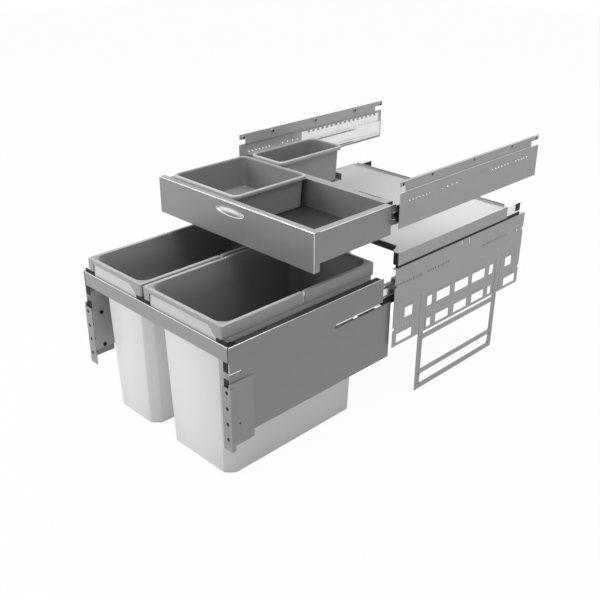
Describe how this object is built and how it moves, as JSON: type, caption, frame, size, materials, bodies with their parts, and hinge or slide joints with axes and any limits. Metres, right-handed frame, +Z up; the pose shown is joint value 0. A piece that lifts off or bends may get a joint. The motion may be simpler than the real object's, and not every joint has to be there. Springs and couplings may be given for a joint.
{
  "type": "pull out waste bin unit",
  "caption": "Pull-out waste unit for a base cabinet: a bin frame and an inner drawer with tubs on side runners, with a sliding lid and leg frames.",
  "frame": {"origin": "centre of the bounding box in X and Y, at the underside of the leg frames, which stand on the cabinet floor", "axes": "+X to the right seen from the front, +Y towards the back of the cabinet, +Z up"},
  "size_m": [0.462, 0.915, 0.498],
  "materials": {
    "satin_steel": "satin silver-grey powder coat",
    "light_steel": "satin light silver-grey coat",
    "lid_white": "satin pale grey coat",
    "zinc": "bright zinc plating",
    "fastener": "plated screw heads",
    "black_plastic": "moulded black",
    "dark_lip": "dark grey",
    "floor_dark": "dark grey satin",
    "badge_metal": "bare bright metal",
    "tub_grey": "moulded grey",
    "bin_white": "moulded off-white",
    "liner_dark": "moulded dark grey",
    "collar_grey": "moulded light grey",
    "clip_white": "moulded white"
  },
  "bodies": {
    "cabinet_sides": {"top_rail_left": "satin_steel", "top_rail_right": "satin_steel", "runner_hangers": "zinc", "drawer_runner_fixed_left": "zinc", "drawer_runner_fixed_right": "zinc", "side_plate_left": "satin_steel", "side_plate_right": "satin_steel", "bin_runner_fixed_left": "zinc", "bin_runner_fixed_right": "zinc", "runner_carriers": "satin_steel", "carrier_screws": "fastener", "runner_latches": "black_plastic", "lid_rail_left": "zinc", "lid_rail_right": "zinc", "lid_rail_seats": "black_plastic", "lid_rail_caps": "black_plastic", "leg_guides": "satin_steel"},
    "leg_left": {"leg_frame_left": "satin_steel"},
    "leg_right": {"leg_frame_right": "satin_steel"},
    "lid": {"lid_sheet": "lid_white", "lid_channels": "satin_steel", "lid_lip": "dark_lip"},
    "drawer_runner_mid": {"drawer_runner_mid_left": "zinc", "drawer_runner_mid_right": "zinc", "drawer_runner_caps": "black_plastic", "drawer_ball_cages": "zinc"},
    "drawer": {"drawer_front": "satin_steel", "drawer_side_left": "satin_steel", "drawer_side_right": "satin_steel", "drawer_back": "satin_steel", "drawer_floor": "floor_dark", "drawer_badge": "badge_metal", "rear_tray": "satin_steel", "runner_arms": "satin_steel", "drawer_runner_moving_left": "zinc", "drawer_runner_moving_right": "zinc"},
    "front_tub": {"front_tub": "tub_grey"},
    "back_tub": {"back_tub": "tub_grey"},
    "bin_frame": {"frame_front_bar": "light_steel", "frame_side_left": "satin_steel", "frame_side_right": "satin_steel", "frame_back_bar": "satin_steel", "door_bracket_left": "light_steel", "door_bracket_right": "light_steel", "door_sleeves": "black_plastic", "bracket_screws": "fastener", "frame_spacers": "black_plastic", "bin_runner_moving_left": "zinc", "bin_runner_moving_right": "zinc"},
    "bin_runner_mid": {"bin_runner_mid_left": "zinc", "bin_runner_mid_right": "zinc", "bin_ball_cages": "zinc"},
    "bin_left": {"bin_left": "bin_white", "liner_left": "liner_dark", "collar_left": "collar_grey", "bag_clips_left": "clip_white"},
    "bin_right": {"bin_right": "bin_white", "liner_right": "liner_dark", "collar_right": "collar_grey", "bag_clips_right": "clip_white"}
  },
  "joints": [
    {"name": "bin_slide", "type": "slide", "parent": "cabinet_sides", "child": "bin_frame", "axis": [0, -1, 0], "range_m": [-0.43, 0]},
    {"name": "bin_runner_mid_slide", "type": "slide", "parent": "cabinet_sides", "child": "bin_runner_mid", "axis": [0, -1, 0], "range_m": [-0.215, 0]},
    {"name": "drawer_slide", "type": "slide", "parent": "cabinet_sides", "child": "drawer", "axis": [0, -1, 0], "range_m": [-0.235, 0.195]},
    {"name": "drawer_runner_mid_slide", "type": "slide", "parent": "cabinet_sides", "child": "drawer_runner_mid", "axis": [0, -1, 0], "range_m": [-0.1175, 0.0975]},
    {"name": "lid_slide", "type": "slide", "parent": "cabinet_sides", "child": "lid", "axis": [0, 1, 0], "range_m": [-0.3, 0]},
    {"name": "leg_left_height", "type": "slide", "parent": "cabinet_sides", "child": "leg_left", "axis": [0, 0, 1], "range_m": [0, 0.03]},
    {"name": "leg_right_height", "type": "slide", "parent": "cabinet_sides", "child": "leg_right", "axis": [0, 0, 1], "range_m": [0, 0.03]},
    {"name": "bin_left_lift", "type": "slide", "parent": "bin_frame", "child": "bin_left", "axis": [0, 0, 1], "range_m": [0, 0.035]},
    {"name": "bin_right_lift", "type": "slide", "parent": "bin_frame", "child": "bin_right", "axis": [0, 0, 1], "range_m": [0, 0.035]},
    {"name": "front_tub_lift", "type": "slide", "parent": "drawer", "child": "front_tub", "axis": [0, 0, 1], "range_m": [0, 0.15]},
    {"name": "back_tub_lift", "type": "slide", "parent": "drawer", "child": "back_tub", "axis": [0, 0, 1], "range_m": [0, 0.15]}
  ],
  "couplings": [
    {"joint": "bin_runner_mid_slide", "follows": "bin_slide", "ratio": 0.5},
    {"joint": "drawer_runner_mid_slide", "follows": "drawer_slide", "ratio": 0.5}
  ]
}
